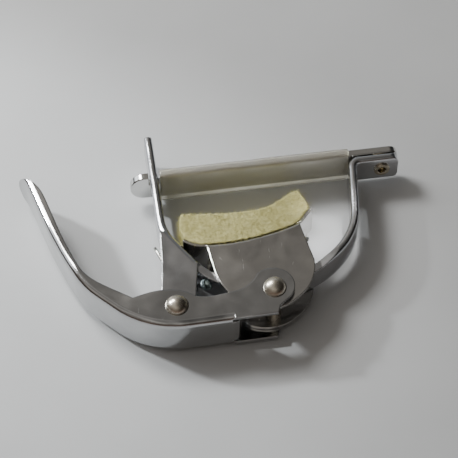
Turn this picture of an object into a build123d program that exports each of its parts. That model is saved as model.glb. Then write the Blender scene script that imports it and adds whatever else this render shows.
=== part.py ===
from build123d import *
import os
from math import copysign, cos, radians, sin

# Spring-closed guitar capo, lying on its side. All lengths are in millimetres.
# Everything is drawn in the plan of the mechanism: x along the bar, y from the handle towards
# the bar, z across the width, with the handle's rivet at x = y = 0 and z = 0 at mid-width.
# save() then moves each piece so that the origin is under the middle of the whole capo.

# where the drawing origin lies in the part's frame
ORIGIN_SHIFT = (-15.45, -27.8, 7.43)

# widths across the capo, each measured from mid-width
ARM_HALF = 4.6          # the strap's arms and flange
NECKED_HALF = 3.6       # the strap where the cradle straddles it
EAR_INSIDE = 2.6
EAR_OUTSIDE = 5.0
EAR_FOLD_R = 1.8        # radius where an ear folds over from the strap
STRAP_EDGE_R = 1.05     # rounding of the strap's edges
CRADLE_INSIDE = 4.05
CRADLE_OUTSIDE = 5.05
TAB_HALF = 4.8
LEVER_INSIDE = 5.2
LEVER_OUTSIDE = 6.3
BAR_HALF = 4.4
PAD_HALF = 5.0

# sheet and strap thicknesses
STRAP_T = 2.4
LEVER_T = 1.1
CRADLE_T = 1.0
BAR_T = 2.3
SLEEVE_WALL = 0.6
SLACK_ABOVE = 0.35      # the flattened sleeve is wider than the bar, and hangs below it
SLACK_BELOW = 2.1
GLUE_T = 0.2

# the two rivets that the handle and the cradle turn on
LEVER_PIVOT = (0.0, 0.0)
CRADLE_PIVOT = (27.3, 2.2)
LEVER_SHANK_R = 2.0
CRADLE_SHANK_R = 1.5
RUNNING_GAP = 0.05      # radial clearance of a shank in its holes
HEAD_GAP = 0.03         # clearance under a rivet head or a washer
DOME_R = 3.2
DOME_H = 2.5
WASHER_T = 0.4
FLAT_HEAD_T = 0.7

# the bar and its swivel
BAR_UNDERSIDE = 47.15
SWIVEL_X = 66.2
BAR_LEFT = -7.75
BAR_RIGHT = 71.3
SLEEVE_LEFT = 1.0
SLEEVE_RIGHT = 56.6
EYELET_SHANK_R = 1.7
EYELET_HOLE_R = 1.15
EYELET_RIM_R = 2.3

# the strap's centre line: the left arm down to the bottom, then up the right arm to the flange
STRAP_TOP = (-0.75, 62.8)
STRAP_DOWN = [(30.8,), (15.0, 31.0), (9.9,), (21.4, 59.0)]
STRAP_UP = [(33.0, 45.0), (24.0, 37.0), (14.9,), (2.6, -82.0), (11.6,)]

# the handle's outer face, from the flanges' right-hand corner round to the tip
WEB_START = (27.0, -6.25)
WEB_HEADING = 181.0
WEB = [(24.4,), (26.0, -48.0), (7.0,), (27.0, -20.0), (150.0, -8.5), (13.6,), (13.9, 28.6)]
WEB_BEND_R = 1.7        # outer radius of the bends between web and flanges
WEB_END = 15.4          # right of this the handle is only its two flanges

# the upper face of the cradle's plate, from its left tab to its right tab
PLATE_START = (5.0, 23.5)
PLATE_HEADING = -36.0
PLATE = [(1.6,), (8.0, 31.0), (60.0, 26.0), (4.0, 28.0), (5.0,)]

# the handle's spring
WIRE_R = 0.5
COIL_R = 4.1
COIL_TURNS = 5
COIL_PITCH = 0.9


# ---------------------------------------------------------------- helpers
def run(start, heading, steps, side=0.0):
    """A path of straights (length,) and tangent arcs (radius, turn to the left), moved to its
    right by side. Returns its edges, its two ends and the path's own end."""
    point, angle, edges = Vector(*start), heading, []

    def beside(place, direction):
        turn = radians(direction)
        return place + Vector(sin(turn), -cos(turn)) * side

    first = beside(point, angle)
    for step in steps:
        here = beside(point, angle)
        if len(step) == 1:
            point = point + Vector(cos(radians(angle)), sin(radians(angle))) * step[0]
            edges.append(Line(here, beside(point, angle)))
            continue
        radius, turn = step
        to_centre = Vector(-sin(radians(angle)), cos(radians(angle))) * copysign(radius, turn)
        centre = point + to_centre
        middle = centre - to_centre.rotate(Axis.Z, turn / 2)
        point = centre - to_centre.rotate(Axis.Z, turn)
        halfway, angle = angle + turn / 2, angle + turn
        edges.append(ThreePointArc(here, beside(middle, halfway), beside(point, angle)))
    return edges, first, beside(point, angle), (point.X, point.Y)


def strip(start, heading, steps, left, right):
    """The flat band between left of a path and right of it."""
    one, one_start, one_end, _ = run(start, heading, steps, -left)
    two, two_start, two_end, _ = run(start, heading, steps, right)
    return make_face([*one, Line(one_end, two_end), *two, Line(two_start, one_start)])


def under(start, heading, steps, side, corners):
    """The area between a path and the far corners given."""
    edges, first, last, _ = run(start, heading, steps, side)
    return make_face([*edges, *Polyline(last, *corners, first).edges()])


def slab(face, low, high):
    """A plan outline given a width from z = low to z = high."""
    return extrude(Pos(0, 0, low) * face, high - low, dir=(0, 0, 1))


def rod(centre, radius, low, high):
    """A round bar along z."""
    return Pos(centre[0], centre[1], (low + high) / 2) * Cylinder(radius, high - low)


def tube(centre, inner, outer, low, high):
    return rod(centre, outer, low, high) - rod(centre, inner, low - 1, high + 1)


def block(x, y, z):
    """A box given by its limits on each axis."""
    size = [high - low for low, high in (x, y, z)]
    middle = [(high + low) / 2 for low, high in (x, y, z)]
    return Pos(*middle) * Box(*size)


def snap_head(radius, height):
    """A domed rivet head standing on z = 0, with a short straight skirt."""
    skirt = 0.25
    rise = height - skirt
    ball = (radius ** 2 + rise ** 2) / (2 * rise)
    cap = Pos(0, 0, height - ball) * Sphere(ball) & Pos(0, 0, skirt + rise / 2) * Cylinder(radius, rise)
    return cap + Pos(0, 0, skirt / 2) * Cylinder(radius, skirt)


def long_edges(shape, height, tolerance=0.01):
    """Edges that lie in the planes z = +height and z = -height."""
    found = ShapeList()
    for edge in shape.edges():
        box = edge.bounding_box()
        if abs(abs(box.min.Z) - height) < tolerance and abs(box.max.Z - box.min.Z) < tolerance:
            found.append(edge)
    return found


def touching(edges, path):
    """Those of the edges whose middle lies on a path drawn in plan."""
    return ShapeList(edge for edge in edges
                     if min(part.distance_to(Vector((edge @ 0.5).X, (edge @ 0.5).Y, 0))
                            for part in path) < 0.02)


def save(name, shape):
    export_step(Pos(*ORIGIN_SHIFT) * shape, f"parts/{name}.step")


os.makedirs("parts", exist_ok=True)

# ---------------------------------------------------------------- frame
# One strap bent into an uneven U, with two ears folded out of its lower left side and a flange
# at the top of its right arm.
strap_plan = strip(STRAP_TOP, -90, STRAP_DOWN + STRAP_UP, STRAP_T / 2, STRAP_T / 2)
strap = slab(strap_plan, -ARM_HALF, ARM_HALF)
strap = fillet(ShapeList(edge for edge in long_edges(strap, ARM_HALF) if edge.length > 3.0), STRAP_EDGE_R)

# the strap is necked between the ears and the right arm, and widens again over a few millimetres
NECK_START, NECK_END, WIDE_AGAIN = 5.0, 41.8, 47.5
neck_cut = extrude(Plane.XZ * make_face(Polyline(
    (NECK_START, NECKED_HALF), (NECK_END, NECKED_HALF), (WIDE_AGAIN, ARM_HALF),
    (WIDE_AGAIN, ARM_HALF + 2), (NECK_START, ARM_HALF + 2), close=True)), 22, both=True)
strap -= neck_cut + mirror(neck_cut, Plane.XY)

# the flange's end, with rounded corners
FLANGE_END = 71.0
corner = block((SWIVEL_X, FLANGE_END), (40, 50), (-ARM_HALF, ARM_HALF))
corner = fillet(corner.edges().filter_by(Axis.Y).group_by(Axis.X)[-1], 2.4)
strap -= block((SWIVEL_X, 80), (40, 50), (-8, 8)) - corner

# ears: side plates round the handle's rivet, folded from the strap's edges
ear_outline = make_face(
    Polyline((-4.3, 1.4), (-2.3, 16.2), (-1.6, 27.0), (1.2, 26.9), (7.9, 15.6), (5.7, 3.6),
             (4.35, 1.2)).edges()
    + ThreePointArc((4.35, 1.2), (0.0, -4.5), (-4.3, 1.4)).edges())
ear_root = strip(STRAP_TOP, -90, STRAP_DOWN, STRAP_T / 2, STRAP_T / 2)
ear_root &= Pos(0, 20.9) * Rectangle(40, 12.2)
ears = slab(ear_outline, EAR_INSIDE, EAR_OUTSIDE)
ears += mirror(ears, Plane.XY)
fold = slab(ear_root, -EAR_OUTSIDE, EAR_OUTSIDE)
strap_inside = run(STRAP_TOP, -90, STRAP_DOWN, -STRAP_T / 2)[0]
fold = fillet(touching(long_edges(fold, EAR_OUTSIDE), strap_inside), EAR_FOLD_R)
frame = strap + ears + fold - (slab(ear_root, -8, 8) - fold)

# the notch in the left arm that the bar drops into
NOTCH_GAP = 0.2
frame -= block((-4, 3), (BAR_UNDERSIDE - NOTCH_GAP, BAR_UNDERSIDE + BAR_T + NOTCH_GAP), (-6, 1.6))

# holes: the handle's rivet through both ears, the eyelet through the flange, the stop rivet
frame -= rod(LEVER_PIVOT, LEVER_SHANK_R + RUNNING_GAP, -8, 8)
frame -= Pos(SWIVEL_X, 46, 0) * Rot(90, 0, 0) * Cylinder(EYELET_SHANK_R + RUNNING_GAP, 8)
_, _, _, stop_point = run(STRAP_TOP, -90, STRAP_DOWN[:3] + [(21.4, 16.0)])
STOP_RIVET = Pos(*stop_point, 0) * Rot(0, 0, -133) * Rot(0, 90, 0)
frame -= STOP_RIVET * Cylinder(1.1, 6)
save("frame", frame)

# ---------------------------------------------------------------- rivets on the frame
# the strap's stop rivet: domed outside, flat inside
stop_rivet = STOP_RIVET * (Cylinder(1.05, STRAP_T + 0.4) + Pos(0, 0, STRAP_T / 2) * snap_head(1.8, 1.5)
                           + Pos(0, 0, -STRAP_T / 2 - 0.37) * Cylinder(1.6, 0.6))
save("stop_rivet", stop_rivet)


def pivot_rivet(centre, shank_radius, dome_radius):
    """A rivet along z: domed head on the upper side, flat formed head on the lower."""
    top = LEVER_OUTSIDE + HEAD_GAP
    foot = -top - WASHER_T
    flat_head = rod(centre, dome_radius - 0.7, foot - FLAT_HEAD_T, foot)
    flat_head = chamfer(flat_head.edges().sort_by(Axis.Z)[0], 0.25)
    return rod(centre, shank_radius, foot - 0.1, top + 0.1) + flat_head + (
        Pos(centre[0], centre[1], top) * snap_head(dome_radius, DOME_H))


def pivot_washer(centre, shank_radius, outer):
    top = -LEVER_OUTSIDE - HEAD_GAP
    return tube(centre, shank_radius + 0.02, outer, top - WASHER_T, top)


save("lever_rivet", pivot_rivet(LEVER_PIVOT, LEVER_SHANK_R, DOME_R))
save("lever_rivet_washer", pivot_washer(LEVER_PIVOT, LEVER_SHANK_R, 3.4))
save("spring_bush", tube(LEVER_PIVOT, LEVER_SHANK_R + 0.02, 3.1, -EAR_INSIDE + 0.05, EAR_INSIDE - 0.05))

# the hollow rivet that the bar swings on
flange_bottom = 44.5
bar_top = BAR_UNDERSIDE + BAR_T
EYELET_AXIS = Pos(SWIVEL_X, 0, 0) * Rot(-90, 0, 0)


def ring_y(inner, outer, low, high):
    """A ring about the swivel's axis, between two heights on y."""
    middle = (low + high) / 2
    ring = Cylinder(outer, high - low) - Cylinder(inner, high - low + 2)
    return EYELET_AXIS * Pos(0, 0, middle) * ring


rim = ring_y(EYELET_HOLE_R, EYELET_RIM_R, flange_bottom - 0.6, flange_bottom)
rim = fillet(rim.edges().sort_by(Axis.Y)[:2], 0.28)
head_low = bar_top + HEAD_GAP
head = fillet(ring_y(EYELET_HOLE_R, 2.9, head_low, head_low + 0.55).edges().sort_by(Axis.Y)[-2:], 0.25)
eyelet = ring_y(EYELET_HOLE_R, EYELET_SHANK_R, flange_bottom - 0.3, head_low + 0.3) + rim + head
save("swivel_rivet", eyelet)
save("swivel_washer", ring_y(EYELET_SHANK_R + 0.03, 4.2, 46.9, BAR_UNDERSIDE - HEAD_GAP))

# ---------------------------------------------------------------- bar and sleeve
bar = block((BAR_LEFT, BAR_RIGHT), (BAR_UNDERSIDE, bar_top), (-BAR_HALF, BAR_HALF))
bar = fillet(bar.edges().filter_by(Axis.Y).group_by(Axis.X)[0], 4.2)
bar = fillet(bar.edges().filter_by(Axis.Y).group_by(Axis.X)[-1], 2.6)
bar = chamfer(bar.edges().filter_by(Axis.Y, reverse=True), 0.25)
bar -= block((-2.3, 0.8), (40, 60), (1.4, 8))
bar -= Pos(SWIVEL_X, 48, 0) * Rot(90, 0, 0) * Cylinder(EYELET_SHANK_R + RUNNING_GAP, 8)
save("bar", bar)

bore_low, bore_high = -BAR_HALF - SLACK_BELOW, BAR_HALF + SLACK_ABOVE
sleeve = block((SLEEVE_LEFT, SLEEVE_RIGHT), (BAR_UNDERSIDE - SLEEVE_WALL, bar_top + SLEEVE_WALL),
               (bore_low - SLEEVE_WALL, bore_high + SLEEVE_WALL))
sleeve = fillet(sleeve.edges().filter_by(Axis.X), 1.2)
bore = block((SLEEVE_LEFT - 1, SLEEVE_RIGHT + 1), (BAR_UNDERSIDE, bar_top), (bore_low, bore_high))
sleeve -= fillet(bore.edges().filter_by(Axis.X), 0.6)
save("bar_sleeve", sleeve)

# ---------------------------------------------------------------- handle
# pressed from sheet: a web with a flange down each side; the flanges run on to the cradle's rivet
FAR = [(-45, 75), (60, 75), (60, -6.0)]
shell = slab(under(WEB_START, WEB_HEADING, WEB, 0.0, FAR), -LEVER_OUTSIDE, LEVER_OUTSIDE)
outer_path = run(WEB_START, WEB_HEADING, WEB)[0]
shell = fillet(touching(long_edges(shell, LEVER_OUTSIDE), outer_path), WEB_BEND_R)
hollow = slab(under(WEB_START, WEB_HEADING, WEB, LEVER_T, FAR), -LEVER_INSIDE, LEVER_INSIDE)
inner_path = run(WEB_START, WEB_HEADING, WEB, LEVER_T)[0]
hollow = fillet(touching(long_edges(hollow, LEVER_INSIDE), inner_path), WEB_BEND_R - LEVER_T)

# plan of the flanges: shallow along the handle, a boss round each rivet
inner_edges, _, tip_inside, _ = run(WEB_START, WEB_HEADING, WEB, LEVER_T)
outer_edges, _, tip_outside, _ = run(WEB_START, WEB_HEADING, WEB)
free_edge = [
    Line(tip_outside, tip_inside),
    Spline(tip_inside, (-37.4, 51.1), (-35.7, 49.4), (-33.7, 46.3), (-32.4, 42.3), (-28.9, 28.4),
           (-26.6, 20.9), (-23.7, 14.4), (-19.2, 9.9), (-11.6, 4.3)),
    Spline((-11.6, 4.3), (-8.2, 5.2), (-4.3, 5.75), (0.1, 5.3), (5.5, 2.4)),
    Spline((5.5, 2.4), (7.6, 1.9), (14.3, 2.3), (17.7, 2.9), (20.7, 4.6), (23.2, 7.5)),
    ThreePointArc((23.2, 7.5), (32.7, 4.6), (30.9, -1.6)),
    Polyline((30.9, -1.6), (27.9, -3.9), WEB_START)]
flange_plan = make_face([*outer_edges, *[edge for part in free_edge for edge in part.edges()]])
silhouette = slab(flange_plan, -10, 10)
tip_round = extrude(Plane.YZ * make_face([
    *Polyline((50.2, 6.4), (50.2, 8.0), (-20, 8.0), (-20, -8.0), (50.2, -8.0), (50.2, -6.4)).edges(),
    *ThreePointArc((50.2, -6.4), (53.7, 0.0), (50.2, 6.4)).edges()]), 60, both=True)
lever = (shell - hollow) & silhouette & tip_round

# right of the web's end: plain flanges, and the web's own end curled inwards between two
# bend-relief notches
lever &= block((-60, WEB_END), (-20, 70), (-10, 10))
for low, high in ((LEVER_INSIDE, LEVER_OUTSIDE), (-LEVER_OUTSIDE, -LEVER_INSIDE)):
    lever += slab(flange_plan, low, high) & block((WEB_END - 0.4, 40), (-20, 20), (-10, 10))
CURL_HALF = 4.3
for low, high in ((CURL_HALF, LEVER_INSIDE), (-LEVER_INSIDE, -CURL_HALF)):
    lever -= block((14.4, 18), (-8, -5.2), (low, high))
curl = strip((14.0, -6.47 + LEVER_T / 2), 1.0, [(0.9,), (1.7, 88.0), (0.9,)], LEVER_T / 2, LEVER_T / 2)
lever += slab(curl, -CURL_HALF, CURL_HALF)
for centre, radius in ((LEVER_PIVOT, LEVER_SHANK_R), (CRADLE_PIVOT, CRADLE_SHANK_R)):
    lever -= rod(centre, radius + RUNNING_GAP, -10, 10)
save("lever", lever)

save("cradle_rivet", pivot_rivet(CRADLE_PIVOT, CRADLE_SHANK_R, DOME_R))
save("cradle_rivet_washer", pivot_washer(CRADLE_PIVOT, CRADLE_SHANK_R, 3.2))
spacer_half = CRADLE_INSIDE - 0.05
save("cradle_spacer", tube(CRADLE_PIVOT, CRADLE_SHANK_R + 0.02, 1.95, -spacer_half, spacer_half))

# ---------------------------------------------------------------- cradle
# sheet folded into an upside-down U: two side plates, a curved top plate, a tab at each end
BELOW = [(60, -20), (-20, -20)]
body = slab(under(PLATE_START, PLATE_HEADING, PLATE, 0.0, BELOW), -CRADLE_OUTSIDE, CRADLE_OUTSIDE)
body = fillet(touching(long_edges(body, CRADLE_OUTSIDE), run(PLATE_START, PLATE_HEADING, PLATE)[0]), 1.5)
inside = slab(under(PLATE_START, PLATE_HEADING, PLATE, CRADLE_T, BELOW), -CRADLE_INSIDE, CRADLE_INSIDE)
inside = fillet(touching(long_edges(inside, CRADLE_INSIDE),
                         run(PLATE_START, PLATE_HEADING, PLATE, CRADLE_T)[0]), 0.5)
side_plan = make_face([
    Line((10.8, 26.0), (10.8, 21.2)), Line((10.8, 21.2), (11.7, 12.5)),
    ThreePointArc((11.7, 12.5), (14.1, 4.2), (20.0, -2.4)),
    ThreePointArc((20.0, -2.4), (27.0, -3.8), (33.0, -1.3)),
    ThreePointArc((33.0, -1.3), (38.2, 4.3), (39.9, 11.0)),
    Line((39.9, 11.0), (37.9, 24.8)), Line((37.9, 24.8), (37.9, 27.0)), Line((37.9, 27.0), (10.8, 26.0))])
plate_plan = strip(PLATE_START, PLATE_HEADING, PLATE, 0.0, CRADLE_T)
tabs = slab(plate_plan, -TAB_HALF, TAB_HALF)
tabs -= block((11.2, 37.5), (0, 60), (-10, 10))
cradle = ((body - inside) & slab(side_plan, -10, 10)) + tabs
cradle -= rod(CRADLE_PIVOT, CRADLE_SHANK_R + RUNNING_GAP, -10, 10)
save("cradle", cradle)

glue_plan = strip(PLATE_START, PLATE_HEADING, PLATE, GLUE_T, 0.0)
save("pad_adhesive", slab(glue_plan, -TAB_HALF + 0.2, TAB_HALF - 0.2))

felt_floor, felt_start, felt_end, _ = run(PLATE_START, PLATE_HEADING, PLATE, -GLUE_T)
felt_plan = make_face([
    *felt_floor, Line(felt_end, (41.5, 31.0)), Line((41.5, 31.0), (39.5, 36.3)),
    Spline((39.5, 36.3), (35.6, 34.6), (30.8, 31.9), (24.9, 30.9), (17.0, 31.1), (5.2, 32.3)),
    Spline((5.2, 32.3), (4.3, 28.4), felt_start)])
save("felt_pad", slab(felt_plan, -PAD_HALF, PAD_HALF))

# ---------------------------------------------------------------- spring
# a wire coil round the bush, its turns drawn touching: one leg lies behind the strap, the other
# against the inside of the handle
lowest = -COIL_PITCH * (COIL_TURNS - 1) / 2
wires = Sketch() + [Pos(COIL_R, lowest + COIL_PITCH * turn) * Circle(WIRE_R) for turn in range(COIL_TURNS)]
coil = revolve(Plane.XZ * wires, Axis.Z)


def leg(angle, length, sense, height):
    """A straight leg, tangent to the coil where the coil is at this angle."""
    turn = radians(angle)
    along = Vector(-sin(turn), cos(turn), 0) * sense
    start = Vector(COIL_R * cos(turn), COIL_R * sin(turn), height) - along * 0.8
    return Plane(start + along * (length / 2), z_dir=along) * Cylinder(WIRE_R, length)


spring = coil + leg(18.0, 24.4, 1, -lowest) + leg(-123.0, 19.3, -1, lowest)
save("lever_spring", spring)
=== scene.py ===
import math

import bmesh
import bpy
import numpy as np
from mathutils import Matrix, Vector


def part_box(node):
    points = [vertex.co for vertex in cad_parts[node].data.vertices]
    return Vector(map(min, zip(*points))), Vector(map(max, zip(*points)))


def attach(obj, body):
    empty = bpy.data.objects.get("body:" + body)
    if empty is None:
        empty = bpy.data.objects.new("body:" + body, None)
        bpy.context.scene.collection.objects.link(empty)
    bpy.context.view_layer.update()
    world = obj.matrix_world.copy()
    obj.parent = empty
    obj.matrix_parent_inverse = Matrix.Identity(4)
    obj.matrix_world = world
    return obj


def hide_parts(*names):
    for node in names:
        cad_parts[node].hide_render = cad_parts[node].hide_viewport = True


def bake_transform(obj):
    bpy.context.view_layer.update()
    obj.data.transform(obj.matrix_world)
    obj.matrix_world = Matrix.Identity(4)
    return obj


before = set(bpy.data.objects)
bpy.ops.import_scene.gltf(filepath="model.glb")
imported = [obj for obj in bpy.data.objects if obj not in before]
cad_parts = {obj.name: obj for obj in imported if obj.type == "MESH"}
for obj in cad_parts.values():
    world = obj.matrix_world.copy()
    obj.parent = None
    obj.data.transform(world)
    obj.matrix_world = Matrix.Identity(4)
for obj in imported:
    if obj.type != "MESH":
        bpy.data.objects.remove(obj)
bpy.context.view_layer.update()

MM = 0.001
TURN = 2 * math.pi

# The plan of the mechanism has its origin at the handle's rivet, at mid-width. Lengths in mm.
PLAN_ORIGIN = Vector((-15.45, -27.8, 7.43))


def place(x, y, z=0.0):
    """A point of the plan, in mm, as a point of the scene, in metres."""
    return (Vector((x, y, z)) + PLAN_ORIGIN) * MM


# ---------------------------------------------------------------- camera
CAMERA_AT = place(-25.2, -267.15, 382.97)
CAMERA_AIM = place(18.51, 28.85)
SENSOR_WIDTH, LENS = 36.0, 133.6  # mm

camera = bpy.data.objects.new("camera", bpy.data.cameras.new("camera"))
bpy.context.scene.collection.objects.link(camera)
camera.location = CAMERA_AT
camera.rotation_euler = (CAMERA_AIM - CAMERA_AT).to_track_quat("-Z", "Y").to_euler()
camera.data.sensor_width = SENSOR_WIDTH
camera.data.lens = LENS
camera.data.clip_start = 0.01
camera.data.clip_end = 20.0
bpy.context.scene.camera = camera


# ---------------------------------------------------------------- material helpers
class Nodes:
    """A small builder for one material's nodes."""

    def __init__(self, name):
        self.material = bpy.data.materials.new(name)
        self.material.use_nodes = True
        self.tree = self.material.node_tree
        self.tree.nodes.clear()
        self.output = self.new("ShaderNodeOutputMaterial")
        self.shader = self.new("ShaderNodeBsdfPrincipled")
        self.link(self.shader.outputs[0], self.output.inputs["Surface"])
        self.coords = self.new("ShaderNodeTexCoord").outputs["Object"]

    def new(self, kind, **settings):
        node = self.tree.nodes.new(kind)
        for key, value in settings.items():
            setattr(node, key, value)
        return node

    def link(self, source, target):
        self.tree.links.new(source, target)

    def set(self, **values):
        """Values on the shader's own sockets, named with underscores for spaces."""
        for key, value in values.items():
            self.shader.inputs[key.replace("_", " ")].default_value = value

    def noise(self, scale, detail=3.0, roughness=0.5, stretch=None, distortion=0.0):
        """Noise in object space, with its coordinates scaled by stretch."""
        node = self.new("ShaderNodeTexNoise")
        node.inputs["Scale"].default_value = scale
        node.inputs["Detail"].default_value = detail
        node.inputs["Roughness"].default_value = roughness
        node.inputs["Distortion"].default_value = distortion
        source = self.coords
        if stretch is not None:
            mapping = self.new("ShaderNodeMapping")
            mapping.inputs["Scale"].default_value = stretch
            self.link(source, mapping.inputs["Vector"])
            source = mapping.outputs[0]
        self.link(source, node.inputs["Vector"])
        return node.outputs["Fac"]

    def ramp(self, value, stops):
        """Colours by value, from (position, colour) stops."""
        node = self.new("ShaderNodeValToRGB")
        elements = node.color_ramp.elements
        while len(elements) < len(stops):
            elements.new(0.5)
        for element, (position, color) in zip(elements, stops):
            element.position = position
            element.color = (*color, 1.0)
        self.link(value, node.inputs["Fac"])
        return node.outputs["Color"]

    def span(self, value, low, high, from_low=0.0, from_high=1.0):
        """The value's span from_low to from_high, mapped to low to high."""
        node = self.new("ShaderNodeMapRange")
        node.inputs["From Min"].default_value = from_low
        node.inputs["From Max"].default_value = from_high
        node.inputs["To Min"].default_value = low
        node.inputs["To Max"].default_value = high
        self.link(value, node.inputs["Value"])
        return node.outputs["Result"]

    def bump(self, height, strength, distance, normal=None):
        """A normal tilted by a height, on top of another normal where one is given."""
        node = self.new("ShaderNodeBump")
        node.inputs["Strength"].default_value = strength
        node.inputs["Distance"].default_value = distance
        self.link(height, node.inputs["Height"])
        if normal is not None:
            self.link(normal, node.inputs["Normal"])
        return node.outputs["Normal"]

    def soft_edges(self, radius):
        """A normal that rounds the mesh's sharp edges."""
        node = self.new("ShaderNodeBevel", samples=6)
        node.inputs["Radius"].default_value = radius
        return node.outputs["Normal"]


SCRATCH_STRETCH = (40, 400, 400)


def plated(name, tint, rough=(0.07, 0.16), edge=0.0005, scuffs=0.25):
    """Plated metal: mottling, smears, a few scuffs, fine scratches, gentle waves and soft edges."""
    made = Nodes(name)
    made.set(Metallic=1.0)
    mottle = made.noise(scale=140.0, detail=5.0, roughness=0.6)
    made.link(made.ramp(mottle, [(0.25, [c * 0.90 for c in tint]), (0.6, tint)]),
              made.shader.inputs["Base Color"])

    smear = made.noise(scale=110.0, detail=6.0, roughness=0.65, distortion=0.8)
    smear = made.span(smear, rough[0], rough[1], 0.38, 0.66)
    marks = made.noise(scale=95.0, detail=7.0, roughness=0.8, stretch=(9.0, 1.6, 9.0), distortion=0.4)
    marks = made.span(marks, 0.0, scuffs, 0.62, 0.70)
    roughness = made.new("ShaderNodeMath", operation="ADD")
    made.link(smear, roughness.inputs[0])
    made.link(marks, roughness.inputs[1])
    made.link(roughness.outputs[0], made.shader.inputs["Roughness"])

    scratches = made.noise(scale=26.0, detail=5.0, roughness=0.75, stretch=SCRATCH_STRETCH)
    scratched = made.bump(scratches, strength=0.05, distance=0.00003, normal=made.soft_edges(edge))
    waves = made.noise(scale=40.0, detail=2.0)
    made.link(made.bump(waves, strength=0.5, distance=0.0028, normal=scratched), made.shader.inputs["Normal"])
    return made.material


chrome_strap = plated("strap_plate", (0.61, 0.62, 0.64), rough=(0.09, 0.18), edge=0.0006)
chrome_lever = plated("lever_plate", (0.53, 0.535, 0.54), rough=(0.05, 0.12))
chrome_cradle = plated("cradle_plate", (0.63, 0.62, 0.60), rough=(0.09, 0.18))
chrome_bar = plated("bar_plate", (0.64, 0.64, 0.63), edge=0.00035)
nickel = plated("nickel_rivets", (0.72, 0.67, 0.57), rough=(0.24, 0.34), edge=0.0005)
zinc = plated("zinc_rivet", (0.50, 0.62, 0.62), rough=(0.14, 0.28), edge=0.00015)
brass = plated("eyelet_brass", (0.50, 0.45, 0.35), rough=(0.16, 0.32), edge=0.00015)
wire = plated("spring_steel", (0.62, 0.62, 0.58), rough=(0.16, 0.28), edge=0.0001)

glue = Nodes("dried_glue")
glue_cloud = glue.noise(scale=900.0, detail=4.0)
glue.link(glue.ramp(glue_cloud, [(0.3, (0.30, 0.27, 0.15)), (0.7, (0.50, 0.46, 0.27))]),
          glue.shader.inputs["Base Color"])
glue.set(Roughness=0.5)
glue.link(glue.bump(glue.noise(scale=1500.0), strength=0.4, distance=0.00008), glue.shader.inputs["Normal"])

FINISH = {
    "frame": chrome_strap, "lever": chrome_lever, "cradle": chrome_cradle, "bar": chrome_bar,
    "stop_rivet": zinc, "spring_bush": zinc, "lever_rivet": nickel, "lever_rivet_washer": nickel,
    "cradle_rivet": nickel, "cradle_rivet_washer": nickel, "cradle_spacer": nickel,
    "swivel_rivet": brass, "swivel_washer": brass, "pad_adhesive": glue.material}
for node, material in FINISH.items():
    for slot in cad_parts[node].material_slots:
        slot.material = material


# ---------------------------------------------------------------- mesh helpers
def link(name, mesh, material):
    """A new object in the scene, with one material."""
    made = bpy.data.objects.new(name, mesh)
    bpy.context.scene.collection.objects.link(made)
    mesh.materials.clear()
    mesh.materials.append(material)
    return made


def evaluated(obj, name):
    """A new mesh with the object's modifiers applied."""
    graph = bpy.context.evaluated_depsgraph_get()
    mesh = bpy.data.meshes.new_from_object(obj.evaluated_get(graph))
    mesh.name = name
    return mesh


def vertex_values(mesh, attribute):
    """One three-number attribute of every vertex, as rows."""
    values = np.empty(len(mesh.vertices) * 3)
    mesh.vertices.foreach_get(attribute, values)
    return values.reshape(-1, 3)


def bridge(tube, one, two):
    """A band of faces between two rings of the same count."""
    count = len(one)
    for step in range(count):
        after = (step + 1) % count
        tube.faces.new((one[step], one[after], two[after], two[step]))


def finished(tube, name):
    """The tube as a new mesh, with its faces turned outward. Only the four-sided ones are smooth."""
    bmesh.ops.recalc_face_normals(tube, faces=tube.faces)
    for face in tube.faces:
        face.smooth = len(face.verts) == 4
    mesh = bpy.data.meshes.new(name)
    tube.to_mesh(mesh)
    tube.free()
    return mesh


# ---------------------------------------------------------------- felt
FELT_STOPS = [(0.3, (0.51, 0.475, 0.20)), (0.5, (0.585, 0.55, 0.245)), (0.75, (0.66, 0.63, 0.32))]
GRAIN_STOPS = [(0.34, (0.62, 0.57, 0.45)), (0.56, (1.0, 1.0, 1.0))]


def felt_material(name, rough_surface):
    """Cream wool: cloudy colour under a fine grain. Single fibres have no rough surface of their own."""
    made = Nodes(name)
    cloud = made.noise(scale=420.0, detail=5.0, roughness=0.6)
    grain = made.noise(scale=1500.0, detail=6.0, roughness=0.75, stretch=(0.35, 1.0, 1.0), distortion=0.6)
    mix = made.new("ShaderNodeMix", data_type="RGBA", blend_type="MULTIPLY")
    mix.inputs["Factor"].default_value = 0.55
    made.link(made.ramp(cloud, FELT_STOPS), mix.inputs["A"])
    made.link(made.ramp(grain, GRAIN_STOPS), mix.inputs["B"])
    made.link(mix.outputs["Result"], made.shader.inputs["Base Color"])
    made.set(Roughness=0.95, Sheen_Weight=0.25, Sheen_Roughness=0.6, Sheen_Tint=(1.0, 0.95, 0.72, 1.0),
             Specular_IOR_Level=0.15)
    if rough_surface:
        clouded = made.bump(cloud, strength=0.4, distance=0.0005)
        grained = made.bump(grain, strength=0.8, distance=0.0002, normal=clouded)
        made.link(grained, made.shader.inputs["Normal"])
    return made.material


felt = felt_material("felt", rough_surface=True)
felt_fibre = felt_material("felt_fibre", rough_surface=False)

# the felt's lengths are in metres
VOXEL = 0.0003
SMOOTHING, SMOOTH_ROUNDS = 0.6, 3
# smooth random heights, as (height, size, number of waves, seed)
LUMPS = [(0.00006, 0.006, 24, 1), (0.00004, 0.0016, 40, 2), (0.00002, 0.0008, 40, 3)]
SUNK = 0.00003
# the pad's rim sags over the rounded shoulders of the plate that it is glued to
PLATE_BEND, SHOULDER = 1.5 * MM, 3.55 * MM
SAG_SHARE = 0.8
SAG_HEIGHT = 3.5 * MM          # the sag fades out over this height above the plate
COLUMNS = 40                   # along the pad, to find how low the felt reaches at each place


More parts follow.
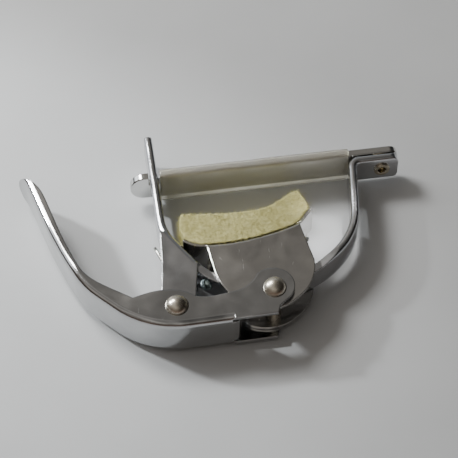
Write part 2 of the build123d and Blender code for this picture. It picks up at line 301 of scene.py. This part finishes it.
def rounded_block(source, name):
    """A fine, evenly meshed copy of a solid, with its edges worn soft."""
    block = bpy.data.objects.new("felt_block", source.data.copy())
    bpy.context.scene.collection.objects.link(block)
    remesh = block.modifiers.new("remesh", "REMESH")
    remesh.mode = "VOXEL"
    remesh.voxel_size = VOXEL
    smooth = block.modifiers.new("smooth", "SMOOTH")
    smooth.factor = SMOOTHING
    smooth.iterations = SMOOTH_ROUNDS
    mesh = evaluated(block, name)
    bpy.data.objects.remove(block)
    return mesh


def lumps(points, size, count, seed):
    """A smooth random height over points, from a sum of waves."""
    local = np.random.default_rng(seed)
    total = np.zeros(len(points))
    for _ in range(count):
        way = local.normal(size=3)
        way *= TURN / size / np.linalg.norm(way) * local.uniform(0.6, 1.5)
        total += np.sin(points @ way + local.uniform(0, TURN))
    return total / math.sqrt(count)


def sagged(points):
    """The points, with those near the plate lowered where its shoulders round away."""
    reach = np.clip(np.abs(points[:, 2] - PLAN_ORIGIN.z * MM) - SHOULDER, 0.0, PLATE_BEND)
    sag = SAG_SHARE * (PLATE_BEND - np.sqrt(PLATE_BEND ** 2 - reach ** 2))
    column = np.digitize(points[:, 0], np.linspace(points[:, 0].min(), points[:, 0].max(), COLUMNS))
    floor_y = np.array([points[column == k, 1].min() if (column == k).any() else 0.0
                        for k in range(COLUMNS + 2)])
    near_plate = np.clip(1.0 - (points[:, 1] - floor_y[column]) / SAG_HEIGHT, 0.0, 1.0) ** 2
    lowered = points.copy()
    lowered[:, 1] -= sag * near_plate
    return lowered


pad_mesh = rounded_block(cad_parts["felt_pad"], "felt_body")
points = vertex_values(pad_mesh, "co")
normals = vertex_values(pad_mesh, "normal")
height = sum(rise * lumps(points, size, count, seed) for rise, size, count, seed in LUMPS) - SUNK
points = sagged(points + normals * height[:, None])
pad_mesh.vertices.foreach_set("co", points.ravel())
for polygon in pad_mesh.polygons:
    polygon.use_smooth = True
pad = link("felt_body", pad_mesh, felt)
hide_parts("felt_pad")
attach(pad, "cradle_body")

FIBRES = 16000
FIBRE_RADIUS = 0.00003
FIBRE_LENGTH = (0.0003, 0.0020)
LENGTH_SHAPE, LENGTH_SCALE = 3.0, 0.00030
OUTWARD, SPREAD = (0.3, 1.0), 0.42  # how far a fibre stands out, and how far it strays
FIBRE_ROOT = 0.00004           # how deep a fibre starts under the surface
FIBRE_RINGS, FIBRE_SIDES = 5, 3
FIBRE_CURL, FIBRE_DROOP, FIBRE_TAPER = 0.9, 0.25, 0.75


def fibres(name, roots, directions, lengths, seed):
    """Thin curly hairs, three-sided and tapered, as one mesh."""
    local = np.random.default_rng(seed)
    vertices, faces = [], []
    for root, way, length in zip(roots, directions, lengths):
        side = np.cross(way, local.normal(size=3))
        side /= np.linalg.norm(side)
        other = np.cross(way, side)
        bend = local.uniform(-FIBRE_CURL, FIBRE_CURL, size=2)
        curl = side * bend[0] + other * bend[1]
        first = len(vertices)
        for ring in range(FIBRE_RINGS):
            t = ring / (FIBRE_RINGS - 1)
            middle = root + way * length * (t - FIBRE_DROOP * t * t) + curl * length * t * t
            thick = FIBRE_RADIUS * (1.0 - FIBRE_TAPER * t)
            for corner in range(FIBRE_SIDES):
                angle = TURN * corner / FIBRE_SIDES
                vertices.append(middle + (side * math.cos(angle) + other * math.sin(angle)) * thick)
        for ring in range(FIBRE_RINGS - 1):
            for corner in range(FIBRE_SIDES):
                a = first + ring * FIBRE_SIDES + corner
                b = first + ring * FIBRE_SIDES + (corner + 1) % FIBRE_SIDES
                faces.append((a, b, b + FIBRE_SIDES, a + FIBRE_SIDES))
    mesh = bpy.data.meshes.new(name)
    mesh.from_pydata([tuple(v) for v in vertices], [], faces)
    return link(name, mesh, felt_fibre)


rng = np.random.default_rng(11)
picked = rng.integers(0, len(points), FIBRES)
outward = rng.uniform(*OUTWARD, size=(FIBRES, 1))
lean = normals[picked] * outward + rng.normal(scale=SPREAD, size=(FIBRES, 3))
lean /= np.linalg.norm(lean, axis=1)[:, None]
lengths = rng.gamma(LENGTH_SHAPE, LENGTH_SCALE, FIBRES).clip(*FIBRE_LENGTH)
fuzz = fibres("felt_fuzz", points[picked] - normals[picked] * FIBRE_ROOT, lean, lengths, seed=5)
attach(fuzz, "cradle_body")


# ---------------------------------------------------------------- sleeve
ROUND, ALONG = 56, 60          # points round the sleeve, and rings along it between its rounded ends
SLEEVE_POWER = 5.0             # of the superellipse: how square the sleeve's section is
HALF_THICK, SWELL = 1.60, 0.12  # mm, as are the other lengths here
SWELL_POWER = 0.6
WOBBLES = [(0.02, 9.0, 1.0), (0.015, 23.0, 0.0)]
IN_BOX = 0.07                  # how far the sleeve's edges keep inside its CAD box
WALL_Y, WALL_Z = 0.30, 0.40
END_ROUNDING = 0.12
END_SHARE = 0.004              # the share of the length that each rounded end takes
HANG_FROM, HANG_NARROWING = 0.45, 0.40


def ring_of(half_y, half_z):
    """A rounded outline in y and z: a superellipse that narrows towards its lower end."""
    found = []
    for step in range(ROUND):
        angle = TURN * step / ROUND
        c, s = math.cos(angle), math.sin(angle)
        y = half_y * math.copysign(abs(c) ** (2 / SLEEVE_POWER), c)
        z = half_z * math.copysign(abs(s) ** (2 / SLEEVE_POWER), s)
        hang = max(0.0, -z / half_z - HANG_FROM) / (1.0 - HANG_FROM)
        found.append((y * (1.0 - HANG_NARROWING * hang ** 1.5), z))
    return found


def sleeve_section(t, inner, tall):
    """The half sizes, in metres, of the sleeve's outer or inner wall at a share of its length."""
    swell = math.sin(math.pi * t) ** SWELL_POWER
    wobble = sum(rise * math.sin(rate * t + phase) for rise, rate, phase in WOBBLES)
    half_y = (HALF_THICK + SWELL * swell + wobble) * MM
    half_z = tall / 2 - (IN_BOX - wobble) * MM
    if inner:
        return half_y - WALL_Y * MM, half_z - WALL_Z * MM
    if t in (0.0, 1.0):
        return half_y - END_ROUNDING * MM, half_z - END_ROUNDING * MM
    return half_y, half_z


def sleeve_tube():
    """A flattened tube, out along its outer wall and back along its bore."""
    low, high = (Vector(corner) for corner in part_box("bar_sleeve"))
    middle = (low + high) / 2
    tube = bmesh.new()
    inside_ends = [END_SHARE + (1 - 2 * END_SHARE) * k / (ALONG - 1) for k in range(ALONG)]
    stations = [0.0, *inside_ends, 1.0]
    loops = []
    for inner in (False, True):
        for t in reversed(stations) if inner else stations:
            x = low.x + (high.x - low.x) * t
            ring = ring_of(*sleeve_section(t, inner, high.z - low.z))
            loops.append([tube.verts.new((x, middle.y + y, middle.z + z)) for y, z in ring])
    for one, two in zip(loops, loops[1:] + loops[:1]):
        bridge(tube, one, two)
    return finished(tube, "vinyl_sleeve")


vinyl = Nodes("clear_vinyl")
vinyl.set(Transmission_Weight=0.82, IOR=1.42, Specular_IOR_Level=0.5)
vinyl.link(vinyl.ramp(vinyl.noise(scale=140.0), [(0.3, (0.97, 0.945, 0.85)), (0.7, (0.99, 0.98, 0.93))]),
           vinyl.shader.inputs["Base Color"])
haze = vinyl.noise(scale=60.0, detail=4.0, stretch=(0.2, 1, 1))
vinyl.link(vinyl.span(haze, 0.04, 0.14, 0.35, 0.7), vinyl.shader.inputs["Roughness"])
ripples = vinyl.noise(scale=90.0, stretch=(0.08, 1.0, 1.6))
vinyl.link(vinyl.bump(ripples, strength=0.35, distance=0.0006), vinyl.shader.inputs["Normal"])
sleeve = link("vinyl_sleeve", sleeve_tube(), vinyl.material)
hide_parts("bar_sleeve")
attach(sleeve, "bar_body")

# ---------------------------------------------------------------- spring
WIRE_R, COIL_R = 0.5, 4.1      # mm, as are the other lengths here
TURN_START, TURN_END = 18.0, -123.0 - 3 * 360.0
COIL_TOP, COIL_BOTTOM = 1.85, -1.85
TOP_LEG, BOTTOM_LEG = 23.6, 18.5
TOP_STEPS, COIL_STEPS, BOTTOM_STEPS = 14, 150, 11
WIRE_SIDES = 12
WIRE_END = 0.82                # the cut ends' radius, as a share of the wire's


def unit(angle):
    """A flat direction, from an angle in degrees."""
    return Vector((math.cos(math.radians(angle)), math.sin(math.radians(angle)), 0.0))


def spring_path():
    """The wire's centre line, in plan mm: in along the top leg, round the coil, out along the bottom leg."""
    def spot(flat, z):
        return Vector((flat.x, flat.y, z))

    path = []
    start, end = unit(TURN_START) * COIL_R, unit(TURN_END) * COIL_R
    for k in range(TOP_STEPS):
        along = TOP_LEG * (1 - k / TOP_STEPS)
        path.append(spot(start + unit(TURN_START + 90) * along, COIL_TOP))
    for k in range(COIL_STEPS + 1):
        t = k / COIL_STEPS
        around = unit(TURN_START + (TURN_END - TURN_START) * t) * COIL_R
        path.append(spot(around, COIL_TOP + (COIL_BOTTOM - COIL_TOP) * t))
    for k in range(1, BOTTOM_STEPS + 1):
        along = BOTTOM_LEG * k / BOTTOM_STEPS
        path.append(spot(end + unit(TURN_END - 90) * along, COIL_BOTTOM))
    return path


def wire_along(path, name):
    """A round wire along a path in plan mm, closed at both ends."""
    tube = bmesh.new()
    rings = []
    last = len(path) - 1
    for k, spot in enumerate(path):
        ahead = path[min(k + 1, last)] - path[max(k - 1, 0)]
        ahead.normalize()
        side = ahead.cross(Vector((0, 0, 1))).normalized()
        other = side.cross(ahead)
        radius = WIRE_R * (WIRE_END if k in (0, last) else 1.0)
        ring = []
        for step in range(WIRE_SIDES):
            angle = TURN * step / WIRE_SIDES
            rim = (side * math.cos(angle) + other * math.sin(angle)) * radius
            ring.append(tube.verts.new(place(*(spot + rim))))
        rings.append(ring)
    for one, two in zip(rings, rings[1:]):
        bridge(tube, one, two)
    tube.faces.new(rings[0])
    tube.faces.new(list(reversed(rings[-1])))
    return finished(tube, name)


spring = link("torsion_spring", wire_along(spring_path(), "torsion_spring"), wire)
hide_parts("lever_spring")
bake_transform(spring)

# ---------------------------------------------------------------- floor and lights
FLOOR_HALF = 3

paper = Nodes("paper")
paper.link(paper.ramp(paper.noise(scale=25.0), [(0.3, (0.60, 0.61, 0.62)), (0.7, (0.64, 0.65, 0.66))]),
           paper.shader.inputs["Base Color"])
paper.set(Roughness=0.75, Specular_IOR_Level=0.25)
tooth = paper.noise(scale=1800.0)
paper.link(paper.bump(tooth, strength=0.15, distance=0.00006), paper.shader.inputs["Normal"])
ground = bpy.data.meshes.new("floor")
corners = [(-1, -1), (1, -1), (1, 1), (-1, 1)]
ground.from_pydata([(x * FLOOR_HALF, y * FLOOR_HALF, 0) for x, y in corners], [], [(0, 1, 2, 3)])
floor = link("floor", ground, paper.material)


def aimed(light, direction, distance, aim):
    """The light, placed at a distance from what it is aimed at."""
    made = bpy.data.objects.new(light.name, light)
    bpy.context.scene.collection.objects.link(made)
    way = Vector(direction).normalized()
    made.location = Vector(aim) + way * distance
    made.rotation_euler = way.to_track_quat("Z", "Y").to_euler()
    return made


def window(name, direction, distance, size, power, color, aim=(0.0, 0.0, 0.005)):
    """A soft rectangular light that shines on the capo from a direction."""
    light = bpy.data.lights.new(name, "AREA")
    light.shape = "RECTANGLE"
    light.size, light.size_y = size
    light.energy = power
    light.color = color
    return aimed(light, direction, distance, aim)


def beam(name, direction, distance, aim, width, power, radius, color=(1.0, 1.0, 1.0)):
    """A cone of light, width degrees wide, that falls on a patch of the table."""
    light = bpy.data.lights.new(name, "SPOT")
    light.spot_size = math.radians(width)
    light.spot_blend = 0.6
    light.energy = power
    light.shadow_soft_size = radius
    light.color = color
    return aimed(light, direction, distance, aim)


window("window_back", (-0.60, 0.74, 1.0), 0.42, (0.12, 0.11), 1.28, (1.0, 1.0, 0.98))
beam("window_left", (-1.12, 0.83, 1.0), 0.45, (-0.105, 0.03, 0.0), 24.0, 10.5, 0.022, (0.96, 0.99, 1.0))
# the patch of light that the cradle's polished plate would throw on the table beside it
beam("plate_glint", (0.25, 0.45, 1.0), 0.45, (0.0285, -0.003, 0.0), 2.2, 14.0, 0.006)
ceiling = window("ceiling", (-0.45, 0.25, 1.0), 1.2, (0.9, 0.7), 0.62, (1.0, 0.93, 0.87))
ceiling.visible_glossy = False


# ---------------------------------------------------------------- room
world = bpy.data.worlds.new("room")
bpy.context.scene.world = world
world.use_nodes = True
room = world.node_tree
background = room.nodes["Background"]


def world_node(kind, inputs=(), **settings):
    """A node's first output, with its inputs linked or set."""
    node = room.nodes.new(kind)
    for key, value in settings.items():
        setattr(node, key, value)
    for socket, value in inputs:
        if isinstance(value, bpy.types.NodeSocket):
            room.links.new(value, node.inputs[socket])
        else:
            node.inputs[socket].default_value = value
    return node.outputs[0]


def world_ramp(value, stops):
    """Colours by value, from (position, colour) stops."""
    color = world_node("ShaderNodeValToRGB", [(0, value)])
    elements = color.node.color_ramp.elements
    while len(elements) < len(stops):
        elements.new(0.5)
    for element, (position, shade) in zip(elements, stops):
        element.position = position
        element.color = (*shade, 1.0)
    return color


def world_span(value, from_low, from_high, low, high, kind="LINEAR"):
    inputs = [("Value", value), ("From Min", from_low), ("From Max", from_high),
              ("To Min", low), ("To Max", high)]
    return world_node("ShaderNodeMapRange", inputs, interpolation_type=kind)


def world_math(operation, first, second):
    return world_node("ShaderNodeMath", [(0, first), (1, second)], operation=operation)


def world_mix(operation, first, second):
    return world_node("ShaderNodeVectorMath", [(0, first), (1, second)], operation=operation)


way = world_node("ShaderNodeTexCoord").node.outputs["Generated"]
axes = world_node("ShaderNodeSeparateXYZ", [(0, way)]).node.outputs

# the room that the plate mirrors: dark below, lighter with height, uneven, and dimmer to the right
by_height = world_ramp(axes["Z"], [
    (0.0, (0.022, 0.014, 0.010)), (0.22, (0.050, 0.037, 0.029)), (0.50, (0.118, 0.106, 0.094)),
    (0.76, (0.25, 0.236, 0.216)), (0.86, (0.19, 0.18, 0.166)), (1.0, (0.14, 0.133, 0.125))])
patches = world_node("ShaderNodeTexNoise", [("Vector", way), ("Scale", 4.2), ("Detail", 2.0)])
patches = world_span(patches, 0.36, 0.64, 0.6, 1.4)
to_right = world_span(axes["X"], -0.02, 0.12, 1.95, 0.95, "SMOOTHSTEP")
far_right = world_span(axes["X"], 0.12, 0.6, 1.0, 0.2)
uneven = world_math("MULTIPLY", patches, world_math("MULTIPLY", to_right, far_right))
lit = world_mix("MULTIPLY", by_height, uneven)

# a pale wall behind
wall = world_ramp(axes["Z"], [
    (0.0, (0.10, 0.10, 0.095)), (0.12, (0.42, 0.43, 0.43)), (0.45, (0.42, 0.43, 0.43)),
    (0.66, (0.24, 0.24, 0.235)), (0.78, (0.0, 0.0, 0.0))])
behind = world_span(axes["Y"], 0.35, 0.85, 0.0, 1.0, "SMOOTHSTEP")
wall = world_mix("MULTIPLY", wall, world_math("MULTIPLY", behind, far_right))

# a bright window at the left of that wall, as a round glow
window_way = (-0.68, 0.55, 0.48)
toward_window = world_node("ShaderNodeVectorMath", [(0, way), (1, window_way)], operation="DOT_PRODUCT")
glow = world_span(toward_window.node.outputs["Value"], 0.92, 0.975, 0.0, 1.0, "SMOOTHSTEP")
glow = world_mix("MULTIPLY", (1.6, 1.7, 1.8), glow)

# a warm band low in front
toward_front = world_span(axes["Y"], -0.3, -0.9, 0.0, 1.0)
warm = world_ramp(axes["Z"], [(0.0, (0.17, 0.085, 0.05)), (0.10, (0.12, 0.06, 0.038)), (0.24, (0, 0, 0))])
warm = world_mix("MULTIPLY", warm, toward_front)

both = world_mix("ADD", world_mix("MAXIMUM", lit, wall), world_mix("ADD", warm, glow))
room.links.new(both, background.inputs["Color"])
